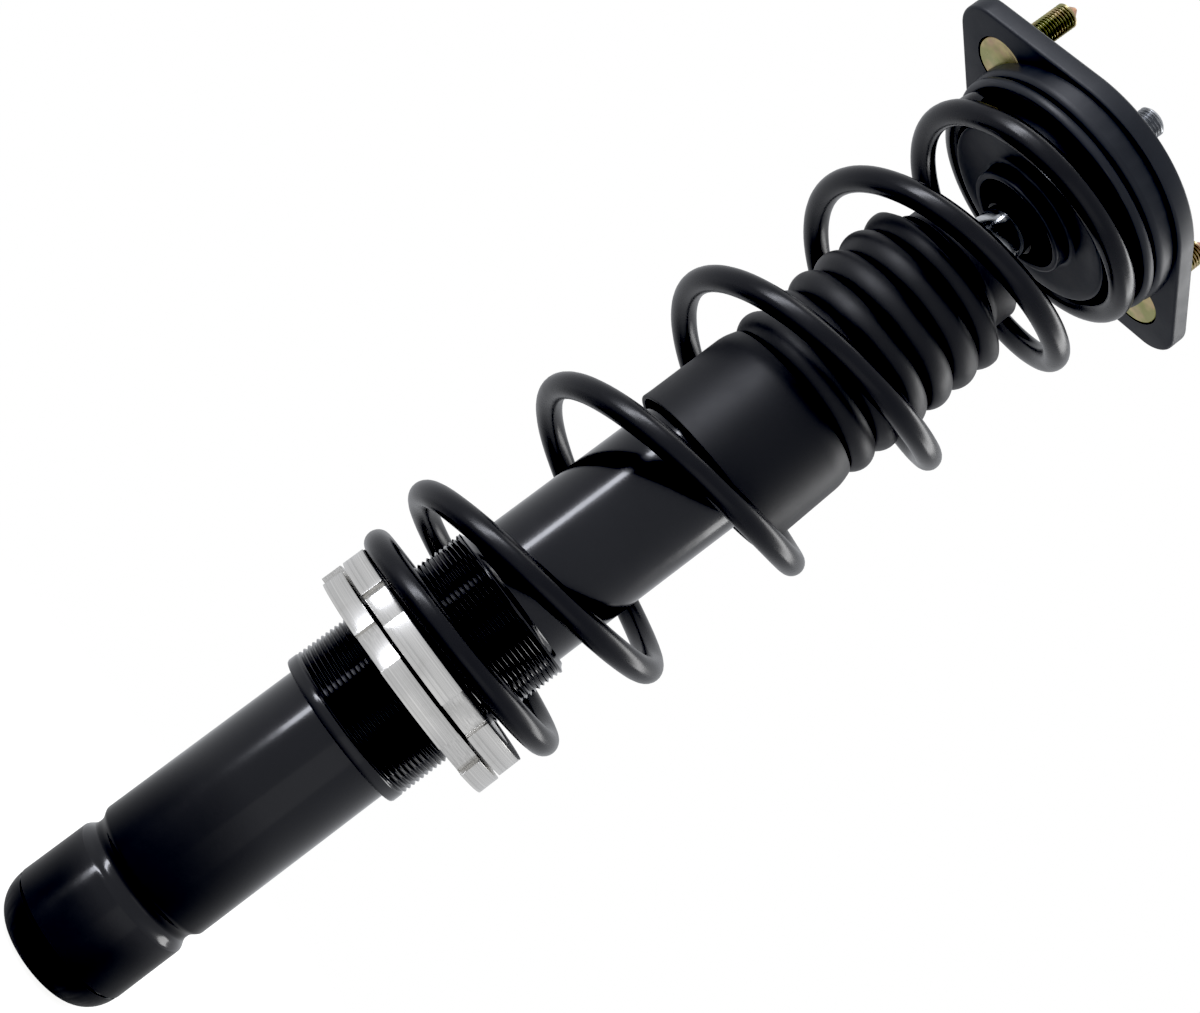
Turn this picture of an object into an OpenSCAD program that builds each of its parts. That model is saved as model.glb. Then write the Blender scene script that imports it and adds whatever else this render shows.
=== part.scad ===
/* [Strut body] */
// Outside diameter of the strut tube
tube_d = 50; // [46:0.5:54]
// Wall thickness of the strut tube
tube_wall = 2.5; // [1.5:0.1:3.5]
// Height of the rounded bottom end
bottom_z = -436.4; // [-442:0.1:-436.2]
// Height of the tube's upper end, inside the dust shield
tube_top_z = -169.6; // [-172:0.2:-166]
// Height of the middle of the clamp groove
groove_z = -397.2; // [-400:0.1:-390]
// Depth of the clamp groove
groove_depth = 2; // [1:0.1:2.2]

/* [Threaded sleeve] */
// Crest diameter of the sleeve thread
sleeve_d = 57.2; // [56:0.1:60]
// Thread pitch of the sleeve and its rings
sleeve_pitch = 1.75; // [1.5:0.05:2.5]
// Height of the sleeve's lower end
sleeve_bottom_z = -321.6; // [-325:0.2:-318]
// Height of the sleeve's upper end
sleeve_top_z = -251; // [-256:0.2:-246]

/* [Lock rings] */
// Outside diameter of both slotted rings
ring_d = 87; // [82:0.5:92]
// Thickness of the lower lock ring
lock_ring_h = 7.4; // [6:0.1:8]
// Thickness of the upper ring that carries the spring
adjuster_h = 7.8; // [6:0.1:9]
// Height of the upper ring's top face, the lower spring seat
spring_bottom_z = -280.8; // [-284:0.1:-276]
// Number of spanner slots in each ring
slot_count = 6; // [4:1:8]

/* [Spring] */
// Wire diameter of the coil spring
wire_d = 9.2; // [8:0.1:10]
// Radius of the wire's centre line at the middle turns
barrel_r = 48.1; // [46:0.1:49]
// Distance that the middle turns stand off the strut's axis
bow = 1.5; // [0:0.5:4]

/* [Dust boot] */
// Outside diameter of the rigid dust shield at its lower rim
shield_d = 66.6; // [64:0.2:68]
// Height of the shield's lower rim
shield_bottom_z = -174.8; // [-176:0.2:-173]
// Height where the shield ends and the bellows start
shield_top_z = -135.5; // [-138:0.5:-132]
// Height where the bellows end and the plain collar starts
bellows_top_z = -64.8; // [-68:0.2:-62]
// Height of the collar's upper end
collar_top_z = -52.8; // [-54:0.2:-50]
// Number of bellows folds
fold_count = 6; // [4:1:8]
// Angle that the boot hangs off the strut's axis
boot_tilt = 1.6; // [0:0.1:1.8]

/* [Top mount] */
// Angle between the mount plate's axis and the strut's axis
lean = 5; // [0:0.5:5]
// Direction that the plate's axis leans towards, from +X
lean_dir = 76; // [60:1:90]
// Thickness of the mount plate
plate_t = 7.5; // [6:0.1:8]
// Radius of the plate's round body
plate_r = 51.5; // [50:0.5:53]
// Distance from the centre to each lobe's tip
lobe_tip_r = 72; // [68:0.5:76]
// Radius of each lobe's tip
lobe_r = 12.3; // [11:0.1:14]
// Distance from the centre to each stud
stud_pcd_r = 49.5; // [47:0.1:52]
// Nominal thread diameter of the studs
stud_d = 10; // [8:1:10]
// Length of a stud above the plate
stud_len = 29; // [25:0.5:35]

/* [Damper] */
// Diameter of the chromed piston rod
rod_d = 20; // [18:0.5:21]
// Thread diameter of the rod's upper end
rod_thread_d = 12; // [10:1:12]
// Height of the rod's threaded end
rod_top_z = 33.8; // [32:0.2:40]
// Height of the rod's shoulder, where the thread's shank begins
shoulder_z = -35; // [-36:0.2:-34]

/* [Hidden] */
$fn = 96;
eps = 0.01;
fit = 0.05;
// Strut body
tube_r = tube_d / 2;
bore_r = tube_r - tube_wall;
groove_r = 5.2;
cap_seam_z = -424.6;
end_roll_r = 11.5;
sleeve_seat_r = tube_r - 0.1;
relief_r = tube_r - 0.8;
relief_h = 10;
sleeve_r = sleeve_d / 2;
thread_depth = 0.95;
sleeve_root_r = sleeve_r - thread_depth;
sleeve_collar_h = 3.2;
ring_gap = 1.2;
adjuster_z = spring_bottom_z - adjuster_h;
lock_ring_z = adjuster_z - ring_gap - lock_ring_h;
ring_bore_r = sleeve_r + fit;
slot_arc = 19;
slot_depth = 3;
lock_slot_dir = -124;
adjuster_slot_dir = -139;
// Spring: turns are counted from the point where the wire passes the direction spring_dir
wire_r = wire_d / 2;
spring_dir = 171;
turn_start = -0.2;
turn_end = 6.05;
closed_below = 0;
open_from = 1.4;
open_to = 4.1;
closed_above = 5.79;
lower_coil_r = 41.2;
upper_coil_r = 42.4;
pad_t = 1.2;
lower_pad_t = 0.4;
coil_bottom_z = spring_bottom_z + lower_pad_t + wire_r;
bow_dir = 166;
bow_turns = 5.6;
spring_steps = 26;
wire_sides = 10;
// Top mount
hub_low = -11.9;
hub_r = 49.3;
hub_edge = 2.6;
housing_r = 21;
housing_rim_r = 20.7;
housing_top = 9;
race_r = 16;
race_half = 6.5;
ball_r = 13;
ball_half = 7.5;
seat_flange_top = -12.2;
seat_flange_low = -15;
seat_flange_r = 48.8;
seat_rim_r = 2.3;
isolator_r = 44;
seat_floor_top = -17;
seat_face_low = -24.6;
spigot_r = 37.6;
spigot_low = -26.5;
neck_r = 18.5;
neck_low = -32;
seat_wall = 2.5;
seat_lip = 1.1;
coil_top_z = seat_flange_low - pad_t - wire_r;
thrust_r = 29;
thrust_ball_r = 1.3;
thrust_race_t = 1.6;
thrust_balls_n = 24;
thrust_z = (hub_low + seat_floor_top) / 2;
lobe_d = lobe_tip_r - lobe_r;
stud_head_r = 10.4;
stud_head_t = 3.2;
stud_r = stud_d / 2 - fit;
stud_seat_r = stud_r + 0.35;
stud_pitch = 1.25;
// Damper
rod_r = rod_d / 2;
shank_r = rod_thread_d / 2;
piston_z = -217.5;
piston_h = 16;
valve_shank_r = 6;
shim_t = 0.3;
shim_count = 6;
shim_stack_h = shim_count * shim_t;
pressure_r = 17.8;
pressure_bore_r = 16.4;
pressure_bottom_z = -420;
guide_z = -186;
// Dust boot
shield_top_d = 65;
shield_wall = 1.7;
boot_dir = -14;
boot_shift = 1;
fold_r = 33.2;
fold_root_r = 29.8;
bellows_wall = 1.2;
collar_r = 24.6;
collar_bore_r = 21.3;

// Puts its children on the mount's leaning axis.
module leaned() {
    rotate([0, 0, lean_dir]) rotate([0, lean, 0]) rotate([0, 0, -lean_dir]) children();
}

// Puts its children on the boot's axis, tilted about the top of the bellows.
module hung() {
    translate([0, 0, bellows_top_z]) rotate([0, 0, boot_dir]) rotate([0, -boot_tilt, 0])
        translate([boot_shift, 0, 0]) rotate([0, 0, -boot_dir])
        translate([0, 0, -bellows_top_z]) children();
}

// Hollow round bar between two heights.
module tube(r_out, r_in, z0, z1) {
    translate([0, 0, z0]) difference() {
        cylinder(r = r_out, h = z1 - z0);
        translate([0, 0, -1]) cylinder(r = r_in, h = z1 - z0 + 2);
    }
}

// Solid round bar between two heights.
module bar(r, z0, z1) {
    translate([0, 0, z0]) cylinder(r = r, h = z1 - z0);
}

// Points of a thread's side, as rings of pitch p between z0 and z1.
function thread_side(r_crest, r_root, p, z0, z1) =
    let (n = floor((z1 - z0) / p))
    [for (i = [0:n - 1]) each [[r_root, z0 + i * p], [r_crest, z0 + (i + 0.44) * p],
        [r_crest, z0 + (i + 0.56) * p]], [r_root, z0 + n * p]];

// Points on a circular arc in the section plane, from angle a0 to angle a1.
function arc(cx, cy, r, a0, a1, n) =
    [for (i = [0:n]) let (a = a0 + (a1 - a0) * i / n) [cx + r * cos(a), cy + r * sin(a)]];

// ---- Top mount ----

// Outline of the plate: a round body with two lobes that run into it along tangents.
module plate_outline() {
    tangent = acos((plate_r - lobe_r) / lobe_d);
    tip = arc(lobe_d, 0, lobe_r, -tangent, tangent, 16);
    side = arc(0, 0, plate_r, tangent, 180 - tangent, 24);
    half = concat(tip, side);
    polygon(concat(half, [for (p = half) -p]));
}

module mount_plate() {
    color("#242528") difference() {
        leaned() difference() {
            translate([0, 0, -plate_t]) linear_extrude(plate_t) plate_outline();
            for (side = [-1, 1]) translate([side * stud_pcd_r, 0, 0]) {
                bar(stud_seat_r + fit, -plate_t - 1, 1);
                bar(stud_head_r + 0.4, -plate_t - 1, -plate_t + stud_head_t);
            }
        }
        bar(housing_r + fit, -plate_t - 10, 10);
    }
}

module stud() {
    cone_h = 4.5;
    thread_low = 2.5;
    thread_top = stud_len - cone_h;
    side = thread_side(stud_r, stud_r - 0.7, stud_pitch, thread_low, thread_top);
    rotate_extrude() polygon(concat(
        [[0, -plate_t], [stud_head_r, -plate_t], [stud_head_r, -plate_t + stud_head_t],
            [stud_seat_r, -plate_t + stud_head_t], [stud_seat_r, 0], [stud_r, 0],
            [stud_r, thread_low - 0.3]],
        side,
        [[stud_r - 1.1, thread_top + 0.2], [0.8, stud_len - 0.2], [0, stud_len]]));
}

module mount_studs() {
    color("#b9ab74") leaned()
        for (side = [-1, 1]) translate([side * stud_pcd_r, 0, 0]) stud();
}

// Hub under the plate, cut to the plate's angle, with the housing of the rod's bearing.
module mount_hub() {
    mouth_r = 14;
    neck_z = -housing_r * sin(lean) - 0.1;
    color("#1d1e20") difference() {
        union() {
            difference() {
                rotate_extrude() polygon(concat(
                    [[0, hub_low]],
                    arc(hub_r - hub_edge, hub_low + hub_edge, hub_edge, -90, 0, 8),
                    [[hub_r, 0], [0, 0]]));
                leaned() bar(2 * hub_r, -plate_t, 20);
            }
            bar(housing_r, hub_low + 1, neck_z);
            bar(housing_rim_r, neck_z - 1, housing_top);
        }
        bar(mouth_r, hub_low - 1, 0);
        bar(race_r + fit, -race_half, housing_top + 1);
    }
}

module bearing_race() {
    color("#c3c5c8") difference() {
        bar(race_r, -race_half + fit, race_half);
        sphere(r = ball_r + fit);
    }
}

// Snap ring above the bearing race, open at one side.
module retaining_ring() {
    color("#6d7074") difference() {
        tube(race_r, 13.9, race_half + fit, race_half + 1.5);
        translate([0, -2.5, 0]) cube([30, 5, 20]);
    }
}

// ---- Rod and the pieces clamped on its upper end ----

module pivot_ball() {
    color("#d5d7da") difference() {
        intersection() {
            sphere(r = ball_r);
            bar(20, -ball_half, ball_half);
        }
        bar(shank_r + fit, -20, 20);
    }
}

module top_washer() {
    color("#a8abb0") tube(10.5, shank_r + fit, ball_half, ball_half + 2);
}

module rod_nut() {
    nut_z = ball_half + 2;
    color("#8b8e92") difference() {
        union() {
            translate([0, 0, nut_z + 1]) cylinder(r = 10.97, h = 9.5, $fn = 6);
            bar(10.2, nut_z, nut_z + 1.5);
            bar(8.6, nut_z + 9, nut_z + 12.5);
        }
        bar(shank_r + fit, nut_z - 1, nut_z + 15);
    }
}

module rod_spacer() {
    color("#3a3c40") tube(9.5, shank_r + fit, shoulder_z + 1.6, -ball_half);
}

module stop_washer() {
    color("#1c1d1f") tube(11, shank_r + fit, shoulder_z, shoulder_z + 1.6);
}

module piston_rod() {
    chamfer = 0.8;
    spigot_end = piston_z - 14;
    shaft_low = piston_z + piston_h + shim_stack_h;
    thread_low = 8;
    side = thread_side(shank_r - fit, shank_r - 0.8, 1.25, thread_low, rod_top_z - 1.4);
    color("#cfd2d6") rotate_extrude() polygon(concat(
        [[0, spigot_end], [valve_shank_r - 1, spigot_end], [valve_shank_r, spigot_end + 1],
            [valve_shank_r, shaft_low], [rod_r - chamfer, shaft_low],
            [rod_r, shaft_low + chamfer], [rod_r, shoulder_z - chamfer],
            [rod_r - chamfer, shoulder_z], [shank_r, shoulder_z], [shank_r, thread_low - 0.6]],
        side,
        [[shank_r - 1.2, rod_top_z], [0, rod_top_z]]));
}

module piston() {
    groove_low = piston_z + 4;
    color("#8f8f8c") difference() {
        bar(pressure_bore_r - 0.15, piston_z, piston_z + piston_h);
        bar(valve_shank_r + fit, piston_z - 1, piston_z + piston_h + 1);
        tube(20, pressure_bore_r - 1.4, groove_low, groove_low + 8);
        for (a = [0:60:300]) rotate(a) translate([10.6, 0, 0]) bar(1.4, piston_z - 1, piston_z + 20);
    }
}

module piston_band() {
    color("#7a5b3a") tube(pressure_bore_r - fit, pressure_bore_r - 1.4, piston_z + 4, piston_z + 12);
}

// Stack of thin valve discs, widest against the piston, from height z in direction up.
module shim_stack(z, up) {
    for (i = [0:shim_count - 1]) {
        low = up > 0 ? z + i * shim_t : z - (i + 1) * shim_t;
        tube(13.4 - 0.9 * i, valve_shank_r + fit, low, low + shim_t);
    }
}

module compression_shims() {
    color("#b8babd") shim_stack(piston_z + piston_h, 1);
}

module rebound_shims() {
    color("#b8babd") shim_stack(piston_z, -1);
}

module piston_nut() {
    nut_z = piston_z - 12.5;
    color("#8b8e92") difference() {
        union() {
            translate([0, 0, nut_z]) cylinder(r = 10.4, h = 9.6, $fn = 6);
            bar(9.2, nut_z + 9, piston_z - shim_stack_h);
        }
        bar(valve_shank_r + fit, nut_z - 1, piston_z);
    }
}

module rebound_stop() {
    color("#303236") tube(13.2, rod_r + fit, piston_z + 21, piston_z + 29);
}

// ---- Steering bearing and the upper spring seat ----

// Flat race ring between two heights, with a ball groove at the bearing's middle height.
module thrust_race(z0, z1) {
    difference() {
        tube(thrust_r + 4, thrust_r - 4, z0, z1);
        translate([0, 0, thrust_z]) rotate_extrude()
            translate([thrust_r, 0]) circle(r = thrust_ball_r + fit, $fn = 32);
    }
}

module thrust_race_upper() {
    color("#b6b9bd") thrust_race(hub_low - thrust_race_t, hub_low);
}

module thrust_race_lower() {
    color("#b6b9bd") thrust_race(seat_floor_top, seat_floor_top + thrust_race_t);
}

module thrust_balls() {
    color("#dfe1e3") for (i = [0:thrust_balls_n - 1]) rotate(i * 360 / thrust_balls_n)
        translate([thrust_r, 0, thrust_z]) sphere(r = thrust_ball_r, $fn = 24);
}

module thrust_cage() {
    half = 0.5;
    color("#8a6d2f") difference() {
        tube(thrust_r + 3.2, thrust_r - 3.2, thrust_z - half, thrust_z + half);
        for (i = [0:thrust_balls_n - 1]) rotate(i * 360 / thrust_balls_n)
            translate([thrust_r, 0, 0]) bar(thrust_ball_r + 0.1, thrust_z - 2, thrust_z + 2);
    }
}

// Moulded seat: a neck round the rod, a shallow cone, a spigot inside the spring and a flange.
module spring_seat() {
    lip = 0.8;
    color("#1a1b1d") rotate_extrude() polygon(concat([
        [neck_r, neck_low + lip], [neck_r + lip, neck_low], [neck_r + seat_wall - lip, neck_low],
        [neck_r + seat_wall, neck_low + lip], [neck_r + seat_wall + 0.4, seat_face_low - 1.5],
        [neck_r + seat_wall + 2, seat_face_low], [spigot_r - 4, spigot_low], [spigot_r - lip, spigot_low],
        [spigot_r, spigot_low + lip], [spigot_r, seat_flange_low]],
        arc(seat_flange_r - seat_rim_r, seat_flange_top - seat_rim_r, seat_rim_r, -168, 90, 14),
        [[36, seat_flange_top], [35, seat_floor_top], [neck_r + seat_lip, seat_floor_top],
        [neck_r + seat_lip, seat_flange_top], [neck_r, seat_flange_top]]));
}

module spring_isolator() {
    color("#101112")
        tube(isolator_r, spigot_r + 0.1, seat_flange_low - pad_t, seat_flange_low);
}

module lower_isolator() {
    color("#101112") tube(ring_d / 2 - 0.5, 37, spring_bottom_z, spring_bottom_z + lower_pad_t);
}

// ---- Coil spring ----

// Turns risen since the bottom, as a count of full-pitch turns: closed, opening, open, closing, closed.
function risen(n) =
    n < closed_below ? 0 :
    n < open_from ? pow(n - closed_below, 2) / (2 * (open_from - closed_below)) :
    n < open_to ? n - (closed_below + open_from) / 2 :
    n < closed_above ? risen(open_to - eps) + n - open_to
        - pow(n - open_to, 2) / (2 * (closed_above - open_to)) :
    risen(closed_above - eps);

function coil_r(n) =
    let (mid = (turn_start + turn_end) / 2, x = (n - mid) / (turn_end - mid))
    barrel_r - (barrel_r - (x < 0 ? lower_coil_r : upper_coil_r)) * x * x;

// Distance of turn n's centre from the strut's axis.
function bowed(n) = n < 0 || n > bow_turns ? 0 : bow * sin(180 * n / bow_turns);

function wire_point(n) =
    let (a = spring_dir + 360 * n, r = coil_r(n), b = bowed(n))
    [r * cos(a) + b * cos(bow_dir), r * sin(a) + b * sin(bow_dir),
        coil_bottom_z + (coil_top_z - coil_bottom_z) * risen(n) / risen(turn_end)];

function unit(v) = v / norm(v);

// Ring of points round the wire at turn n.
function wire_ring(n) =
    let (p = wire_point(n), t = unit(wire_point(n + 0.01) - wire_point(n - 0.01)),
        out = unit(cross(t, cross([p[0], p[1], 0], t))), up = cross(out, t))
    [for (k = [0:wire_sides - 1]) let (a = 360 * k / wire_sides)
        p + wire_r * (cos(a) * out + sin(a) * up)];

module coil_spring() {
    count = ceil((turn_end - turn_start) * spring_steps);
    rings = [for (i = [0:count]) wire_ring(turn_start + (turn_end - turn_start) * i / count)];
    m = wire_sides;
    color("#17181a") polyhedron(
        points = [for (ring = rings) each ring],
        faces = concat(
            [[for (k = [0:m - 1]) k]],
            [[for (k = [m - 1:-1:0]) count * m + k]],
            [for (i = [0:count - 1], k = [0:m - 1]) let (j = (k + 1) % m)
                each [[i * m + k, (i + 1) * m + k, (i + 1) * m + j],
                    [i * m + k, (i + 1) * m + j, i * m + j]]]));
}

// ---- Dust boot ----

module boot_collar() {
    lip = 0.9;
    color("#202123") rotate_extrude() polygon([
        [collar_bore_r, bellows_top_z + 0.3], [collar_r + 1.2, bellows_top_z + 0.3],
        [collar_r, bellows_top_z + 2.2], [collar_r, collar_top_z - lip],
        [collar_r - lip, collar_top_z], [collar_bore_r, collar_top_z]]);
}

// Bellows wall: rounded folds with the same wall all along.
module boot_bellows() {
    z0 = shield_top_z + 0.3;
    z1 = bellows_top_z - 0.7;
    pitch = (z1 - z0) / fold_count;
    steps = 8;
    mid_r = (fold_r + fold_root_r) / 2;
    amp = (fold_r - fold_root_r) / 2;
    wave = [for (i = [0:fold_count * steps]) let (z = z0 + i * pitch / steps)
        [mid_r - amp * cos(360 * i / steps) - max(0, (z - z1 + 5) * 0.9), z]];
    color("#1e1f21") hung() rotate_extrude() polygon(concat(
        wave, [for (i = [len(wave) - 1:-1:0]) [wave[i][0] - bellows_wall, wave[i][1]]]));
}

module dust_shield() {
    r0 = shield_d / 2;
    r1 = shield_top_d / 2;
    shoulder = 1.5;
    color("#1b1c1e") hung() rotate_extrude() polygon([
        [r0 - shield_wall, shield_bottom_z], [r0, shield_bottom_z], [r1, shield_top_z - 5],
        [r1 - shoulder, shield_top_z], [r1 - shoulder - shield_wall, shield_top_z],
        [r1 - shield_wall, shield_top_z - 5.6]]);
}

module bump_stop() {
    low = -86;
    top = collar_top_z + 0.6;
    waist = (low + top) / 2;
    color("#b9a36a") rotate_extrude() polygon(concat(
        [[rod_r + 0.3, low], [15, low], [17.5, low + 4]],
        arc(20.5, waist - 3, 3, 240, 120, 6),
        [[collar_bore_r - 0.3, bellows_top_z], [collar_bore_r - 0.3, top], [rod_r + 0.3, top]]));
}

// ---- Strut body ----

// Round-bottomed groove all the way round the tube, with rounded shoulders.
module clamp_groove() {
    translate([0, 0, groove_z]) rotate_extrude()
        translate([tube_r + groove_r - groove_depth, 0]) circle(r = groove_r, $fn = 48);
}

// Bead that the groove raises inside the tube, so that the wall keeps its thickness.
module groove_bead() {
    half = 6;
    bead_r = bore_r - groove_depth;
    translate([0, 0, groove_z]) rotate_extrude() polygon([
        [bore_r + 1, -half - 1], [bore_r, -half], [bead_r, -half + 3.5], [bead_r, half - 3.5],
        [bore_r, half], [bore_r + 1, half + 1]]);
}

module strut_tube() {
    color("#0f1012") difference() {
        union() {
            bar(tube_r, cap_seam_z, sleeve_bottom_z);
            bar(relief_r, cap_seam_z, tube_top_z);
            bar(sleeve_seat_r, sleeve_bottom_z + relief_h, tube_top_z);
        }
        difference() {
            bar(bore_r, cap_seam_z - 1, tube_top_z + 1);
            groove_bead();
        }
        clamp_groove();
    }
}

// Bottom of the tube, spun shut over the end cap.
module end_cap() {
    color("#0f1012") rotate_extrude() polygon(concat(
        [[0, bottom_z]],
        arc(tube_r - 0.1 - end_roll_r, bottom_z + end_roll_r, end_roll_r, -90, 0, 10),
        [[tube_r - 0.5, cap_seam_z - fit],
            [bore_r - fit, cap_seam_z - fit], [bore_r - fit, cap_seam_z + 3],
            [bore_r - 2, cap_seam_z + 4], [bore_r - 4, cap_seam_z - 3], [0, cap_seam_z - 6]]));
}

module threaded_sleeve() {
    z0 = sleeve_bottom_z;
    z1 = sleeve_top_z;
    inner = sleeve_seat_r + fit;
    side = thread_side(sleeve_r, sleeve_root_r, sleeve_pitch, z0 + sleeve_collar_h, z1 - 1.8);
    color("#121315") rotate_extrude() polygon(concat(
        [[inner, z0], [sleeve_r - 0.6, z0], [sleeve_r + 0.1, z0 + 0.7],
            [sleeve_r + 0.1, z0 + sleeve_collar_h - 0.6]],
        side,
        [[sleeve_root_r - 0.6, z1 - 0.8], [sleeve_root_r - 1.2, z1], [inner, z1]]));
}

// Slotted ring with a chamfered rim, between heights z0 and z0 + h.
module slotted_ring(z0, h, dir) {
    r = ring_d / 2;
    chamfer = 0.6;
    difference() {
        translate([0, 0, z0]) rotate_extrude() polygon([
            [ring_bore_r, 0.4], [ring_bore_r + 0.4, 0], [r - chamfer, 0], [r, chamfer],
            [r, h - chamfer], [r - chamfer, h], [ring_bore_r + 0.4, h], [ring_bore_r, h - 0.4]]);
        for (i = [0:slot_count - 1]) rotate(dir + i * 360 / slot_count)
            translate([r - slot_depth, -r * sin(slot_arc / 2), z0 - 1])
                cube([20, 2 * r * sin(slot_arc / 2), h + 2]);
    }
}

module lock_ring() {
    color("#c9cbce") slotted_ring(lock_ring_z, lock_ring_h, lock_slot_dir);
}

module adjuster_ring() {
    color("#c9cbce") slotted_ring(adjuster_z, adjuster_h, adjuster_slot_dir);
}

// ---- Inside the damper ----

module pressure_tube() {
    color("#9a9da0") tube(pressure_r, pressure_bore_r, pressure_bottom_z + 6, guide_z + 4);
}

module base_valve() {
    z = pressure_bottom_z;
    color("#77797b") difference() {
        union() {
            bar(bore_r - 1.5, z, z + 4);
            bar(pressure_r, z, z + 6);
            bar(pressure_bore_r - fit, z, z + 14);
        }
        bar(3 + fit, z - 1, z + 20);
        for (a = [0:60:300]) rotate(a) translate([9.5, 0, 0]) bar(1.5, z + 5, z + 20);
        bar(12.5, z - 1, z + 6);
    }
}

module base_valve_bolt() {
    z = pressure_bottom_z;
    color("#8b8e92") {
        bar(3, z + 2, z + 17);
        bar(6, z + 3, z + 6);
        bar(5.2, z + 14, z + 18);
    }
}

module rod_guide() {
    z = guide_z;
    color("#6f7173") difference() {
        union() {
            bar(bore_r - fit, z + 4, z + 11);
            bar(pressure_bore_r - fit, z - 2, z + 5);
        }
        bar(rod_r + 1.4, z - 3, z + 12);
    }
}

module guide_bush() {
    color("#a06a3c") tube(rod_r + 1.35, rod_r + fit, guide_z - 2, guide_z + 8);
}

module oil_seal() {
    z = guide_z + 11;
    color("#141414") rotate_extrude() polygon([
        [rod_r + 0.4, z + 2.2], [rod_r + fit, z + 1.4], [rod_r + 0.5, z], [bore_r - 2, z],
        [bore_r - 2, z + 3], [rod_r + 1.2, z + 3]]);
}

module gland_nut() {
    z = guide_z + 11;
    color("#26282b") difference() {
        union() {
            bar(bore_r - fit, z, tube_top_z);
            bar(tube_r - 1, tube_top_z, tube_top_z + 1.5);
        }
        bar(bore_r - 1.95, z - 1, z + 3);
        bar(rod_r + 0.8, z, tube_top_z + 3);
        for (a = [45:90:315]) rotate(a) translate([17, 0, 0])
            bar(2.2, tube_top_z - 2.5, tube_top_z + 3);
    }
}

mount_plate();
mount_studs();
mount_hub();
bearing_race();
retaining_ring();
pivot_ball();
top_washer();
rod_nut();
rod_spacer();
stop_washer();
piston_rod();
piston();
piston_band();
compression_shims();
rebound_shims();
piston_nut();
rebound_stop();
thrust_race_upper();
thrust_cage();
thrust_balls();
thrust_race_lower();
spring_seat();
spring_isolator();
coil_spring();
lower_isolator();
boot_collar();
boot_bellows();
dust_shield();
bump_stop();
strut_tube();
end_cap();
threaded_sleeve();
lock_ring();
adjuster_ring();
pressure_tube();
base_valve();
base_valve_bolt();
rod_guide();
guide_bush();
oil_seal();
gland_nut();
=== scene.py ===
"""Coil-over suspension strut: shaped pieces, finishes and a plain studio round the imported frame."""
import math

import bmesh
import bpy
from mathutils import Matrix, Vector


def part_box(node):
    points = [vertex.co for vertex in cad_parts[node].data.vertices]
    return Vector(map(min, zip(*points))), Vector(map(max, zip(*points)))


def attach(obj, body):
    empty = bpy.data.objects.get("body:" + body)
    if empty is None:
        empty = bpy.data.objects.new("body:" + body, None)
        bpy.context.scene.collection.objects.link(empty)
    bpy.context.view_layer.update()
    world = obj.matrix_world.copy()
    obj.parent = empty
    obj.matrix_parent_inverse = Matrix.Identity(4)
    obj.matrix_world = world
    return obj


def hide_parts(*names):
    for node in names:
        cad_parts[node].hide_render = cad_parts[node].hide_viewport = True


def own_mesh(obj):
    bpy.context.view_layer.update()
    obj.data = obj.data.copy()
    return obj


bl_info = {
    "name": "Coil-over strut",
    "version": (1, 0, 0),
    "blender": (4, 5, 0),
    "location": "3D View > Sidebar > Strut",
    "description": "Builds the visible pieces of a coil-over suspension strut round its frame",
    "category": "Add Mesh",
}

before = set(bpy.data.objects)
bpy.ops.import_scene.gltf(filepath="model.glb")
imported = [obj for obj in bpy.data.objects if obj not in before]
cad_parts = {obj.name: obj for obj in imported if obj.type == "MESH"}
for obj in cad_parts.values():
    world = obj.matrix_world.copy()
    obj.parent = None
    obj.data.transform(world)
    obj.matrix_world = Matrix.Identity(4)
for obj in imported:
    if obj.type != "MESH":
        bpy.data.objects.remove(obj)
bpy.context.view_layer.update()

MM = 0.001
ROUND_STEPS = 144


def box_mm(node):
    """Lowest and highest corner of a CAD node, in millimetres."""
    low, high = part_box(node)
    return [c / MM for c in low], [c / MM for c in high]


def base_mm(node):
    """Height of a CAD node's underside, in millimetres."""
    return box_mm(node)[0][2]


def top_mm(node):
    """Height of a CAD node's upper side, in millimetres."""
    return box_mm(node)[1][2]


def linear(hex_colour):
    """Linear RGBA of an sRGB hex colour."""
    parts = [int(hex_colour[i:i + 2], 16) / 255 for i in (1, 3, 5)]
    return [c / 12.92 if c <= 0.04045 else ((c + 0.055) / 1.055) ** 2.4 for c in parts] + [1.0]


# ---- Sizes and colours a user would change ----


def length(name, text, millimetres):
    """Float property for a length."""
    return bpy.props.FloatProperty(
        name=name, description=text, default=millimetres * MM, unit="LENGTH", precision=5)


def colour(name, text, hex_colour):
    """Float vector property for a colour."""
    return bpy.props.FloatVectorProperty(
        name=name, description=text, default=linear(hex_colour), subtype="COLOR", size=4,
        min=0, max=1)


class StrutSizes(bpy.types.PropertyGroup):
    """Sizes of the strut's visible pieces."""

    tube_r: length("Tube radius", "Outside radius of the strut tube", 25)
    groove_z: length("Groove height", "Height of the middle of the clamp groove", -397.2)
    groove_depth: length("Groove depth", "Depth of the clamp groove", 2)
    sleeve_pitch: length("Sleeve pitch", "Thread pitch of the sleeve", 1.75)
    sleeve_depth: length("Sleeve thread depth", "Depth of the sleeve's thread", 0.95)
    ring_chamfer: length("Ring chamfer", "Width of the edge break on the slotted rings", 0.5)
    wire_r: length("Wire radius", "Radius of the spring wire", 4.6)
    barrel_r: length("Barrel radius", "Radius of the wire's centre line at the middle turns", 47.8)
    bellows_wall: length("Bellows wall", "Wall thickness of the bellows", 1.2)
    stud_r: length("Stud radius", "Crest radius of the studs' thread", 4.95)
    plate_edge: length("Plate edge", "Radius of the mount plate's rounded edge", 1.1)


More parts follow.
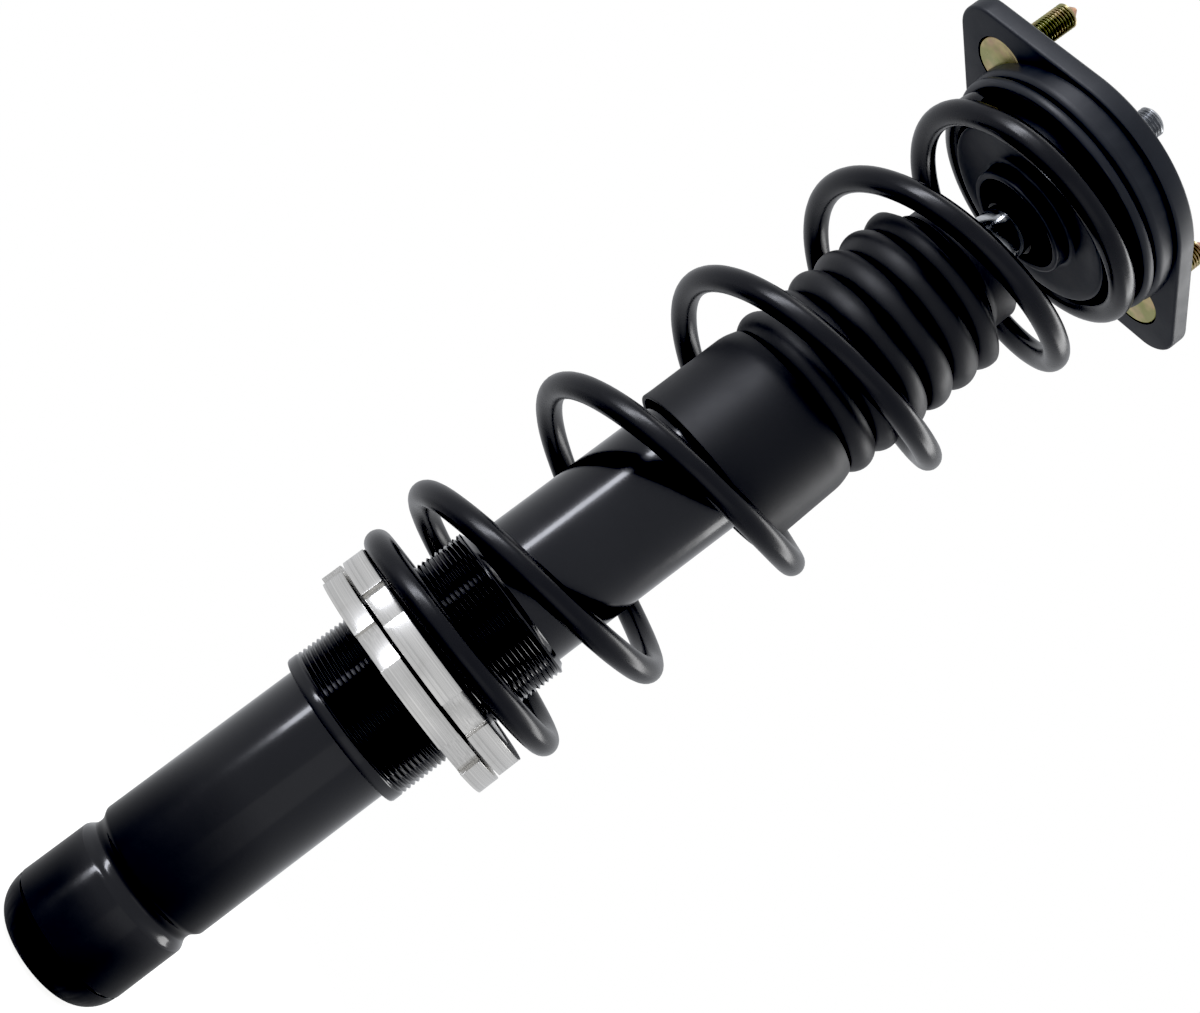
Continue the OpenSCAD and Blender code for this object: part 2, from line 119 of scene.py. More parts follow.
class StrutColours(bpy.types.PropertyGroup):
    """Colours of the strut's finishes."""

    enamel: colour("Enamel", "Gloss stoving enamel of the tube", "#08080a")
    powder: colour("Powder coat", "Satin powder coat of the spring", "#0e0e10")
    electrocoat: colour("Electrocoat", "Satin electrocoat of the pressings", "#1f2125")
    aluminium: colour("Aluminium", "Bare turned aluminium of the rings", "#ebe9e5")
    chrome: colour("Chrome", "Hard chrome of the rod", "#d0d2d4")
    zinc: colour("Passivated zinc", "Yellow-passivated zinc of the studs", "#c6ba88")
    boot: colour("Boot rubber", "Moulded rubber of the bellows", "#111112")
    shield: colour("Shield plastic", "Moulded plastic of the shield and collar", "#141415")
    foam: colour("Bump stop foam", "Cellular polyurethane of the bump stop", "#b79f68")


def sizes():
    """The scene's sizes, in millimetres by name."""
    group = bpy.context.scene.strut_sizes
    return {name: getattr(group, name) / MM for name in StrutSizes.__annotations__}


def tint(name):
    """One of the scene's colours."""
    return list(getattr(bpy.context.scene.strut_colours, name))


# ---- Mesh tools, in millimetres ----


def arc(cx, cy, r, a0, a1, steps):
    """Points on a circular arc, from angle a0 to a1 in degrees."""
    turn = [math.radians(a0 + (a1 - a0) * i / steps) for i in range(steps + 1)]
    return [(cx + r * math.cos(a), cy + r * math.sin(a)) for a in turn]


def rounded(points, radius, steps=4):
    """A closed section with its corners rounded. A point may carry its own radius as a third number."""
    out = []
    for i, point in enumerate(points):
        here = Vector(point[:2])
        before = Vector(points[i - 1][:2]) - here
        after = Vector(points[(i + 1) % len(points)][:2]) - here
        size = point[2] if len(point) > 2 else radius
        reach = min(size, 0.45 * before.length, 0.45 * after.length)
        if reach < 0.02 or here.x < 0.001:
            out.append(tuple(here))
            continue
        start, end = here + before.normalized() * reach, here + after.normalized() * reach
        for k in range(steps + 1):
            t = k / steps
            out.append(tuple(start * (1 - t) ** 2 + here * 2 * t * (1 - t) + end * t * t))
    return out


def skin(name, rows, closed=True):
    """Mesh over rows of points, each row a ring of points or a single point."""
    verts, index = [], []
    for row in rows:
        index.append(range(len(verts), len(verts) + len(row)))
        verts += [Vector(p) * MM for p in row]
    pairs = list(zip(index, index[1:])) + ([(index[-1], index[0])] if closed else [])
    faces = []
    for low, high in pairs:
        count = max(len(low), len(high))
        for j in range(count):
            k = (j + 1) % count
            ring = [low[j % len(low)], low[k % len(low)], high[k % len(high)], high[j % len(high)]]
            corners = list(dict.fromkeys(ring))
            if len(corners) > 2:
                faces.append(corners)
    mesh = bpy.data.meshes.new(name)
    mesh.from_pydata(verts, [], faces)
    return mesh


def turned(name, section, warp=None, steps=ROUND_STEPS, closed=True):
    """Mesh turned round Z from a section of (radius, height) points.

    warp(angle, r, z) may shift a point.
    """
    rows = []
    for r, z in section:
        if r < 0.001:
            rows.append([(0, 0, z)])
            continue
        row = []
        for j in range(steps):
            a = 2 * math.pi * j / steps
            rr, zz = warp(a, r, z) if warp else (r, z)
            row.append((rr * math.cos(a), rr * math.sin(a), zz))
        rows.append(row)
    return skin(name, rows, closed)


def capped(mesh):
    """Closes the mesh's open ends and turns all faces outwards."""
    work = bmesh.new()
    work.from_mesh(mesh)
    bmesh.ops.remove_doubles(work, verts=work.verts, dist=0.5e-6)
    bmesh.ops.holes_fill(work, edges=[e for e in work.edges if e.is_boundary], sides=0)
    bmesh.ops.recalc_face_normals(work, faces=work.faces)
    work.to_mesh(mesh)
    work.free()
    return mesh


def thread_height(turn, flat=0.14):
    """Height of a thread's flank, 0 at the root to 1 at the crest, at a share of a turn."""
    away = abs(turn - math.floor(turn) - 0.5) * 2
    return min(1, max(0, (1 - away - flat * 0.5) / (1 - flat)))


def threaded(r_crest, depth, pitch, z0, z1):
    """A warp that cuts a right-hand thread between two heights, run out at both ends."""
    def warp(a, r, z):
        if r < r_crest - 0.01 or not z0 <= z <= z1:
            return r, z
        run_out = min(1, (z - z0) / pitch, (z1 - z) / pitch)
        return r_crest - depth * run_out * (1 - thread_height(z / pitch - a / (2 * math.pi))), z
    return warp


def climb(r, z0, z1, pitch, rows_per_pitch=9):
    """Section points up a threaded wall."""
    count = max(2, round((z1 - z0) / pitch * rows_per_pitch))
    return [(r, z0 + (z1 - z0) * i / count) for i in range(count + 1)]


def piece(name, mesh, body, materials, nodes=(), angle=32):
    """Object for a mesh, riding on a body, in place of CAD nodes."""
    obj = bpy.data.objects.new(name, capped(mesh))
    bpy.context.scene.collection.objects.link(obj)
    mesh.polygons.foreach_set("use_smooth", [True] * len(mesh.polygons))
    mesh.set_sharp_from_angle(angle=math.radians(angle))
    for material in materials if isinstance(materials, (list, tuple)) else [materials]:
        mesh.materials.append(material)
    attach(obj, body)
    if nodes:
        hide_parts(*nodes)
    return obj


def edge_break(obj, width_mm, steps=2, angle=38):
    """Bevels an object's sharp edges and applies the bevel."""
    bevel = obj.modifiers.new("edge", "BEVEL")
    bevel.width, bevel.segments = width_mm * MM, steps
    bevel.limit_method, bevel.angle_limit = "ANGLE", math.radians(angle)
    settle(obj)


def settle(obj):
    """Applies an object's modifiers to its mesh."""
    graph = bpy.context.evaluated_depsgraph_get()
    done = bpy.data.meshes.new_from_object(obj.evaluated_get(graph))
    obj.modifiers.clear()
    obj.data = done
    done.polygons.foreach_set("use_smooth", [True] * len(done.polygons))
    done.set_sharp_from_angle(angle=math.radians(32))


def cut(obj, cutters):
    """Cuts closed meshes out of an object."""
    for mesh in cutters:
        tool = bpy.data.objects.new("tool", capped(mesh))
        bpy.context.scene.collection.objects.link(tool)
        bpy.context.view_layer.update()
        boolean = obj.modifiers.new("cut", "BOOLEAN")
        boolean.operation, boolean.solver, boolean.object = "DIFFERENCE", "EXACT", tool
        settle(obj)
        bpy.data.objects.remove(tool)


# ---- Finishes ----


def add(tree, kind, inputs=None, **settings):
    """Adds a shader node with its settings; an input may be a value or another node's output."""
    made = tree.nodes.new("ShaderNode" + kind)
    for key, value in settings.items():
        setattr(made, key, value)
    for key, value in (inputs or {}).items():
        if isinstance(value, bpy.types.NodeSocket):
            tree.links.new(value, made.inputs[key])
        else:
            made.inputs[key].default_value = value
    return made


def per_mm(millimetres):
    """Texture scale whose features are about this size."""
    return 1 / (millimetres * MM)


def blank(name, **sockets):
    """A material with only its main shader, and the sockets that are the same all over it."""
    material = bpy.data.materials.get(name)
    if material:
        return material, None, None, None
    material = bpy.data.materials.new(name)
    material.use_nodes = True
    tree = material.node_tree
    tree.nodes.clear()
    shader = add(tree, "BsdfPrincipled", {k.replace("_", " "): v for k, v in sockets.items()})
    add(tree, "OutputMaterial", {"Surface": shader.outputs[0]})
    place = add(tree, "TexCoord").outputs["Object"]
    return material, tree, shader, place


def varied(tree, shader, place, base, other, patch_mm, rough, grain_mm, height_mm, wear=None):
    """Colour that drifts in patches, roughness that follows it, and a fine raised grain."""
    patch = add(tree, "TexNoise", {
        "Vector": place, "Scale": per_mm(patch_mm), "Detail": 4.0, "Roughness": 0.6}).outputs[0]
    blend = add(tree, "MapRange", {
        "Value": patch, "From Min": 0.35, "From Max": 0.7, "To Min": 0.0, "To Max": 1.0}).outputs[0]
    colour_out = add(tree, "Mix", {0: blend, 6: base, 7: other}, data_type="RGBA").outputs[2]
    if wear:
        edge = add(tree, "NewGeometry").outputs["Pointiness"]
        edge = add(tree, "MapRange", {
            "Value": edge, "From Min": 0.53, "From Max": 0.62, "To Min": 0.0, "To Max": 1.0})
        broken = add(tree, "Math", {0: edge.outputs[0], 1: patch}, operation="MULTIPLY").outputs[0]
        colour_out = add(
            tree, "Mix", {0: broken, 6: colour_out, 7: wear}, data_type="RGBA").outputs[2]
    tree.links.new(colour_out, shader.inputs["Base Color"])
    gloss = add(tree, "MapRange", {
        "Value": patch, "From Min": 0.3, "From Max": 0.7, "To Min": rough[0], "To Max": rough[1]})
    tree.links.new(gloss.outputs[0], shader.inputs["Roughness"])
    grain = add(tree, "TexNoise", {
        "Vector": place, "Scale": per_mm(grain_mm), "Detail": 3.0, "Roughness": 0.55}).outputs[0]
    bump = add(tree, "Bump", {"Height": grain, "Distance": height_mm * MM, "Strength": 1.0})
    tree.links.new(bump.outputs[0], shader.inputs["Normal"])


def round_coordinates(tree, place):
    """Coordinates that are the same all round the strut's axis: (radius, 0, height)."""
    parts = add(tree, "SeparateXYZ", {0: place})
    flat = add(tree, "CombineXYZ", {0: parts.outputs[0], 1: parts.outputs[1]}).outputs[0]
    radius = add(tree, "VectorMath", {0: flat}, operation="LENGTH").outputs["Value"]
    return add(tree, "CombineXYZ", {0: radius, 2: parts.outputs[2]}).outputs[0]


def stoving_enamel():
    """Black stoving enamel, sprayed on steel and baked: glossy, with a soft orange peel 3 mm across."""
    material, tree, shader, place = blank("stoving_enamel", IOR=1.52, Coat_Weight=0.3,
                                          Coat_Roughness=0.06)
    if tree:
        base = tint("enamel")
        varied(tree, shader, place, base, [c * 1.5 for c in base[:3]] + [1.0], 30,
               (0.13, 0.22), 3.0, 0.012, linear("#26272a"))
    return material


def powder_coat():
    """Black polyester powder coat, fused on spring steel: satin, with an even fine peel."""
    material, tree, shader, place = blank("powder_coat", IOR=1.5)
    if tree:
        base = tint("powder")
        varied(tree, shader, place, base, [c * 1.35 for c in base[:3]] + [1.0], 18,
               (0.22, 0.32), 1.1, 0.012)
    return material


def electrocoat():
    """Black electrocoat on pressed steel, dipped and baked: low sheen, thin over edges."""
    material, tree, shader, place = blank("electrocoat", IOR=1.5)
    if tree:
        base = tint("electrocoat")
        varied(tree, shader, place, base, [c * 1.4 for c in base[:3]] + [1.0], 22,
               (0.38, 0.52), 0.7, 0.015, linear("#3c3d40"))
    return material


def moulded_rubber():
    """Black nitrile rubber, moulded: matt with a faint bloom and a fine spark-eroded grain."""
    material, tree, shader, place = blank("moulded_rubber", IOR=1.52)
    if tree:
        base = tint("boot")
        varied(tree, shader, place, base, [c * 1.5 for c in base[:3]] + [1.0], 14,
               (0.42, 0.56), 0.6, 0.02)
    return material


def moulded_plastic():
    """Black polypropylene, injection moulded: matt, with an even 0.5 mm grain."""
    material, tree, shader, place = blank("moulded_plastic", IOR=1.49)
    if tree:
        base = tint("shield")
        varied(tree, shader, place, base, [c * 1.25 for c in base[:3]] + [1.0], 26,
               (0.44, 0.54), 0.5, 0.015, linear("#2b2b2d"))
    return material


def turned_aluminium():
    """Bare aluminium, turned on a lathe: bright, with tool lines 0.1 mm apart drawn 0.45 mm apart, and
    soft patches of painted reflection.
    """
    material, tree, shader, place = blank("turned_aluminium", Metallic=1.0, Anisotropic=0.35)
    if tree:
        ringed = round_coordinates(tree, place)
        base = tint("aluminium")
        varied(tree, shader, ringed, base, linear("#bcbbb8"), 0.45, (0.20, 0.30), 0.45, 0.012)
        # Painted reflection: soft darker, warmer patches about 7 mm across stand in for uneven
        # surroundings mirrored in the bright metal
        dull = add(tree, "TexNoise", {
            "Vector": place, "Scale": per_mm(7), "Detail": 5.0}).outputs[0]
        painted_reflection = add(tree, "MapRange", {
            "Value": dull, "From Min": 0.55, "From Max": 0.8, "To Min": 0.0, "To Max": 0.25})
        old = shader.inputs["Base Color"].links[0].from_socket
        painted_reflection_colour = add(tree, "Mix", {0: painted_reflection.outputs[0], 6: old, 7: linear("#a8a59d")},
                      data_type="RGBA").outputs[2]
        tree.links.new(painted_reflection_colour, shader.inputs["Base Color"])
    return material


def hard_chrome():
    """Hard chrome, ground and polished: mirror bright, with very fine marks round the rod."""
    material, tree, shader, place = blank("hard_chrome", Metallic=1.0)
    if tree:
        ringed = round_coordinates(tree, place)
        varied(tree, shader, ringed, tint("chrome"), linear("#b8bbbe"), 1.5, (0.07, 0.15), 0.6, 0.002)
    return material


def passivated_zinc(name="passivated_zinc", first=None, second="#bfa58c", third="#a3a274"):
    """Zinc plate with yellow chromate: a thin film whose colour drifts from gold to pink and olive."""
    material, tree, shader, place = blank(name, Metallic=1.0)
    if tree:
        base = linear(first) if first else tint("zinc")
        varied(tree, shader, place, base, linear(second), 6, (0.24, 0.42), 0.5, 0.01)
        drift = add(tree, "TexNoise", {"Vector": place, "Scale": per_mm(9), "Detail": 2.0}).outputs[0]
        share = add(tree, "MapRange", {
            "Value": drift, "From Min": 0.42, "From Max": 0.6, "To Min": 0.0, "To Max": 1.0})
        old = shader.inputs["Base Color"].links[0].from_socket
        film = add(tree, "Mix", {0: share.outputs[0], 6: old, 7: linear(third)},
                   data_type="RGBA").outputs[2]
        tree.links.new(film, shader.inputs["Base Color"])
    return material


def plain_metal(name, base, other, rough, grain_mm, height_mm):
    """A worked metal surface: the named metal's colour, drifting a little, with its tool marks."""
    material, tree, shader, place = blank(name, Metallic=1.0)
    if tree:
        varied(tree, shader, place, linear(base), linear(other), 8, rough, grain_mm, height_mm)
    return material


def plain_moulding(name, base, other, rough, grain_mm, height_mm):
    """A moulded or foamed surface: the named material's colour, with its grain or cells."""
    material, tree, shader, place = blank(name, IOR=1.5)
    if tree:
        varied(tree, shader, place, base, linear(other), 6, rough, grain_mm, height_mm)
    return material


def ground_steel():
    """Hardened bearing steel, ground: bright grey with fine grinding lines."""
    return plain_metal("ground_steel", "#c3c5c7", "#a9abae", (0.15, 0.25), 0.5, 0.004)


def zinc_steel():
    """Steel with clear zinc plate: pale grey, slightly frosted."""
    return plain_metal("zinc_steel", "#a6a8aa", "#8a8c8f", (0.3, 0.45), 0.7, 0.012)


def black_oxide():
    """Steel blackened in hot salts: dark brown-black with an oiled sheen."""
    return plain_metal("black_oxide", "#33322f", "#242423", (0.3, 0.42), 0.6, 0.01)


def sintered_iron():
    """Iron pressed from powder and sintered: dull grey with open pores 0.3 mm across."""
    return plain_metal("sintered_iron", "#6d6b68", "#545250", (0.5, 0.65), 0.3, 0.03)


def cast_aluminium():
    """Die-cast aluminium: light grey, slightly rough from the die."""
    return plain_metal("cast_aluminium", "#9c9c9b", "#858584", (0.4, 0.55), 0.9, 0.02)


def sintered_bronze():
    """Oil-filled sintered bronze: brown-gold with small pores."""
    return plain_metal("sintered_bronze", "#9c6d3c", "#7d5530", (0.35, 0.5), 0.3, 0.02)


def filled_ptfe():
    """PTFE filled with bronze, pressed: brown, waxy and dull."""
    return plain_moulding("filled_ptfe", linear("#5f4430"), "#4d3626", (0.45, 0.55), 0.4, 0.01)


def cellular_polyurethane():
    """Cellular polyurethane, moulded: tan with closed cells 0.8 mm across under a dull skin."""
    return plain_moulding("cellular_polyurethane", tint("foam"), "#9c8452", (0.6, 0.75), 0.8, 0.08)


# ---- Pieces, in millimetres and degrees ----

# The plate leans off the strut's axis, towards LEAN_DIR
LEAN, LEAN_DIR = 5, 76
PLATE_T, PLATE_R, LOBE_TIP, LOBE_R = 7.5, 51.5, 72, 12.3
HOUSING_R = 21
# Studs: their distance from the middle, head, length, thread and pointed tip
STUD_AT, HEAD_R, HEAD_T, PRESSED_R = 49.5, 10.4, 3.2, 5.3
STUD_LEN, STUD_PITCH, CONE, STUD_THREAD_DEPTH = 29, 1.25, 4.5, 0.75
CUT_GAP = 0.05


def leaning():
    """Turn from the strut's axis to the plate's leaning axis."""
    there = Matrix.Rotation(math.radians(LEAN_DIR), 4, "Z")
    return there @ Matrix.Rotation(math.radians(LEAN), 4, "Y") @ there.inverted()


def bar(name, r, z0, z1, steps=96):
    """Solid round bar between two heights."""
    return turned(name, [(0, z0), (r, z0), (r, z1), (0, z1)], steps=steps, closed=False)


def plate_outline(inset):
    """Outline of the mount plate: a round body with two lobes, moved in by inset."""
    lobe_at = LOBE_TIP - LOBE_R
    tangent = math.degrees(math.acos((PLATE_R - LOBE_R) / lobe_at))
    half = arc(lobe_at, 0, LOBE_R - inset, -tangent, tangent, 20)
    half += arc(0, 0, PLATE_R - inset, tangent, 180 - tangent, 40)[1:-1]
    return half + [(-x, -y) for x, y in half]


class STRUT_OT_top_mount(bpy.types.Operator):
    """Mount plate with rounded edges and its two studs"""

    bl_idname = "strut.top_mount"
    bl_label = "Top mount"

    def execute(self, context):
        size = sizes()
        edge = size["plate_edge"]
        tilt = leaning()
        rows = []
        for inset, z in arc(edge, -PLATE_T + edge, edge, 270, 180, 5):
            rows.append([(x, y, z) for x, y in plate_outline(inset)])
        for inset, z in arc(edge, -edge, edge, 180, 90, 5):
            rows.append([(x, y, z) for x, y in plate_outline(inset)])
        mesh = skin("mount_plate_shaped", rows, closed=False)
        mesh.transform(tilt)
        plate = piece("mount_plate_shaped", mesh, "top_mount", electrocoat(),
                      ["mount_plate"])
        cutters = [bar("cutter", HOUSING_R + CUT_GAP, -30, 30)]
        for side in (-1, 1):
            for r, top in ((HEAD_R + 0.35, -PLATE_T + HEAD_T), (PRESSED_R + CUT_GAP, 5)):
                cutter = bar("cutter", r, -PLATE_T - 4, top)
                cutter.transform(tilt @ Matrix.Translation((side * STUD_AT * MM, 0, 0)))
                cutters.append(cutter)
        cut(plate, cutters)
        self.studs(size, tilt)
        return {"FINISHED"}

    def studs(self, size, tilt):
        """Both pressed-in studs, with rolled threads and pointed tips."""
        r = size["stud_r"]
        low, high = 2.2, STUD_LEN - CONE
        section = [(0, -PLATE_T - 0.1), (4.2, -PLATE_T - 0.1), (4.6, -PLATE_T),
                   (HEAD_R - 0.5, -PLATE_T), (HEAD_R, -PLATE_T + 0.5),
                   (HEAD_R, -PLATE_T + HEAD_T), (PRESSED_R, -PLATE_T + HEAD_T), (PRESSED_R, -0.15),
                   (PRESSED_R - 0.15, 0), (r, 0)]
        section += climb(r, low, high, STUD_PITCH)
        section += [(r - 0.9, high + 0.3), (r - 1.2, high + 0.5), (0.9, STUD_LEN - 0.25),
                    (0, STUD_LEN)]
        meshes = []
        for side in (-1, 1):
            mesh = turned("stud", section, threaded(r, STUD_THREAD_DEPTH, STUD_PITCH, low, high), 64,
                          False)
            mesh.transform(tilt @ Matrix.Translation((side * STUD_AT * MM, 0, 0)))
            meshes.append(mesh)
        joined = merged("mount_studs_threaded", meshes)
        # Slot 2 is painted shade: a dark olive zinc on the faces in the thread roots, where shade falls
        # in the grooves
        tip, root = 1, 2
        piece("mount_studs_threaded", joined, "top_mount",
              [passivated_zinc(),
               passivated_zinc("passivated_zinc_tip", "#c98a62", "#b5765a", "#c79a6b"),
               passivated_zinc("passivated_zinc_root", "#4c4a2c", "#3a3420", "#2f3520")],
              ["mount_studs"])
        back = tilt.inverted()
        for face in joined.polygons:
            at = back @ face.center
            if at.z > (high + 0.6) * MM:
                face.material_index = tip
            # Faces deep in the thread roots take the painted shade
            elif at.z > low * MM and math.hypot(abs(at.x) - STUD_AT * MM, at.y) < (r - 0.4) * MM:
                face.material_index = root


def merged(name, meshes):
    """One mesh from several."""
    work = bmesh.new()
    for mesh in meshes:
        work.from_mesh(mesh)
    out = bpy.data.meshes.new(name)
    work.to_mesh(out)
    work.free()
    return out


class STRUT_OT_spring_seat(bpy.types.Operator):
    """Pressed upper spring seat with a neck round the rod, and its rubber pad"""

    bl_idname = "strut.spring_seat"
    bl_label = "Upper spring seat"

    def execute(self, context):
        low, high = base_mm("spring_seat"), top_mm("spring_seat")
        neck, wall, lip, spigot, flange, rim = 18.5, 2.5, 1.1, 37.6, 48.8, 2.3
        flange_low, face_low, floor_top = -15, -24.6, -17
        spigot_low = -26.5
        section = rounded([
            (neck, low, 1.0), (neck + wall, low, 1.0), (neck + wall + 0.4, face_low - 0.4, 2),
            (spigot - 4, spigot_low, 3),
            (spigot, spigot_low, 1.3), (spigot, flange_low, 0.5)]
            + arc(flange - rim, high - rim, rim, -168, 90, 18)
            + [(36, high, 0.8), (35, floor_top, 0.6), (neck + lip, floor_top, 0.4),
               (neck + lip, high, 0.3), (neck, high, 0.3)], 1)
        piece("spring_seat_pressed", turned("spring_seat_pressed", section), "seat",
              electrocoat(), ["spring_seat"])
        pad_low, pad_high = base_mm("spring_isolator"), top_mm("spring_isolator")
        pad_bore, pad_r = spigot + 0.15, 44
        section = rounded([(pad_bore, pad_low), (pad_r, pad_low), (pad_r, pad_high),
                           (pad_bore, pad_high)], 0.4)
        piece("spring_pad_upper", turned("spring_pad_upper", section), "seat",
              moulded_rubber(), ["spring_isolator"])
        return {"FINISHED"}


# The wire starts towards SPRING_DIR; places along it are counted in turns
SPRING_DIR, TURN_START, TURN_END = 171, -0.2, 6.05
OPEN_FROM, OPEN_TO, CLOSED_ABOVE = 1.4, 4.1, 5.79
# The middle of the spring bows aside by BOW
BOW, BOW_DIR, BOW_TURNS = 1.5, 166, 5.6
LOWER_COIL_R, UPPER_COIL_R = 41.2, 42.4


def risen(n):
    """Full-pitch turns that the wire has risen by turn n: closed, opening, open, closing, closed."""
    if n < 0:
        return 0
    if n < OPEN_FROM:
        return n * n / (2 * OPEN_FROM)
    if n < OPEN_TO:
        return n - OPEN_FROM / 2
    n = min(n, CLOSED_ABOVE)
    return n - OPEN_FROM / 2 - (n - OPEN_TO) ** 2 / (2 * (CLOSED_ABOVE - OPEN_TO))


class STRUT_OT_spring(bpy.types.Operator):
    """Open coil spring, barrel-shaped, with closed end turns and tapered tips"""

    bl_idname = "strut.spring"
    bl_label = "Coil spring"

    def execute(self, context):
        size = sizes()
        wire = size["wire_r"]
        barrel = size["barrel_r"]
        low, high = base_mm("coil_spring") + wire, top_mm("coil_spring") - wire
        middle = (TURN_START + TURN_END) / 2

        def centre(n):
            x = (n - middle) / (TURN_END - middle)
            r = barrel - (barrel - (LOWER_COIL_R if x < 0 else UPPER_COIL_R)) * x * x
            a = math.radians(SPRING_DIR + 360 * n)
            z = low + (high - low) * risen(n) / risen(TURN_END)
            bow = BOW * math.sin(math.pi * n / BOW_TURNS) if 0 < n < BOW_TURNS else 0
            away = math.radians(BOW_DIR)
            return Vector((r * math.cos(a) + bow * math.cos(away),
                           r * math.sin(a) + bow * math.sin(away), z))

        steps, sides, rows = 620, 26, []
        for i in range(steps + 1):
            n = TURN_START + (TURN_END - TURN_START) * i / steps
            p = centre(n)
            along = (centre(n + 0.005) - centre(n - 0.005)).normalized()
            flat = Vector((p.x, p.y, 0))
            out = (flat - along * along.dot(flat)).normalized()
            up = along.cross(out)
            tip = min(1, (0.35 + min(i, steps - i) * 0.35) ** 0.5)
            rows.append([p + (out * math.cos(a) + up * math.sin(a)) * wire * tip
                         for a in (2 * math.pi * k / sides for k in range(sides))])
        mesh = skin("coil_spring_wound", rows, closed=False)
        spring = piece("coil_spring_wound", mesh, "seat", powder_coat(),
                       ["coil_spring"], angle=50)
        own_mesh(spring)
        return {"FINISHED"}


BELLOWS_TOP, SHIELD_TOP, SHIELD_LOW = -64.8, -135.5, -174.8
# The boot hangs loose: it tilts, and stands aside, towards BOOT_DIR
BOOT_TILT, BOOT_DIR, BOOT_SHIFT = 1.6, -14, 1
FOLD_ROOT_R, FOLD_HEIGHT, FOLD_TRAVEL = 29.6, 3.6, 30


class STRUT_OT_boot(bpy.types.Operator):
    """Dust boot: collar, bellows and rigid shield, with the bump stop inside"""

    bl_idname = "strut.boot"
    bl_label = "Dust boot"

    def execute(self, context):
        size = sizes()
        self.hang = (Matrix.Translation((0, 0, BELLOWS_TOP * MM))
                     @ Matrix.Rotation(math.radians(BOOT_DIR), 4, "Z")
                     @ Matrix.Rotation(math.radians(-BOOT_TILT), 4, "Y")
                     @ Matrix.Translation((BOOT_SHIFT * MM, 0, 0))
                     @ Matrix.Rotation(math.radians(-BOOT_DIR), 4, "Z")
                     @ Matrix.Translation((0, 0, -BELLOWS_TOP * MM)))
        self.collar()
        self.bellows(size["bellows_wall"])
        self.shield()
        self.bump_stop()
        return {"FINISHED"}

    def collar(self):
        """Plain collar that grips the bump stop."""
        low, high = base_mm("boot_collar"), top_mm("boot_collar")
        section = rounded([(21.3, low, 0.3), (25.8, low, 0.3), (24.6, low + 2, 1.0),
                           (24.6, high, 1.3), (21.3, high, 0.8)], 0.8)
        piece("boot_collar_moulded", turned("boot_collar_moulded", section), "upper_boot",
              moulded_plastic(), ["boot_collar"])

    def bellows(self, wall):
        """Rounded folds with narrow grooves between them, one wall thick."""
        low, high = SHIELD_TOP + 0.3, BELLOWS_TOP - 0.7
        folds, steps = 6, 14
        pitch = (high - low) / folds
        wave = []
        for i in range(folds * steps + 1):
            z = low + i * pitch / steps
            share = abs(math.sin(math.pi * i / steps)) ** 0.62
            neck_in = max(0, z - (high - 5)) * 0.9
            r = FOLD_ROOT_R + FOLD_HEIGHT * share - neck_in
            wave.append((r, z))
        inner = [(r - wall, z) for r, z in reversed(wave)]
        mesh = turned("boot_bellows_folded", wave + inner)
        mesh.transform(self.hang)
        bellows = piece("boot_bellows_folded", mesh, "upper_boot", moulded_rubber(),
                        ["boot_bellows"], angle=60)
        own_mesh(bellows)

    def shield(self):
        """Rigid shield with a slightly wider mouth."""
        low, high = SHIELD_LOW, SHIELD_TOP
        section = rounded([(31.6, low, 0.6), (33.3, low, 0.7), (33.1, low + 3.2, 1.5),
                           (32.5, high - 5, 2.5), (31.0, high, 0.8), (29.3, high, 0.6),
                           (30.8, high - 5.6, 2)], 0.6)
        mesh = turned("dust_shield_moulded", section)
        mesh.transform(self.hang)
        piece("dust_shield_moulded", mesh, "shield", moulded_plastic(),
              ["dust_shield"])

    def bump_stop(self):
        """Foam bump stop with a waist."""
        low, high = base_mm("bump_stop"), top_mm("bump_stop")
        waist = -72
        section = rounded([(10.3, low), (14.8, low, 1.5), (17.4, low + 4, 2),
                           (17.6, waist - 3, 1), (16.2, waist, 2), (17.6, waist + 3, 1),
                           (20.9, BELLOWS_TOP, 1), (20.9, high, 1), (10.3, high, 0.6)], 0.5)
        piece("bump_stop_foam", turned("bump_stop_foam", section), "upper_boot",
              cellular_polyurethane(), ["bump_stop"])


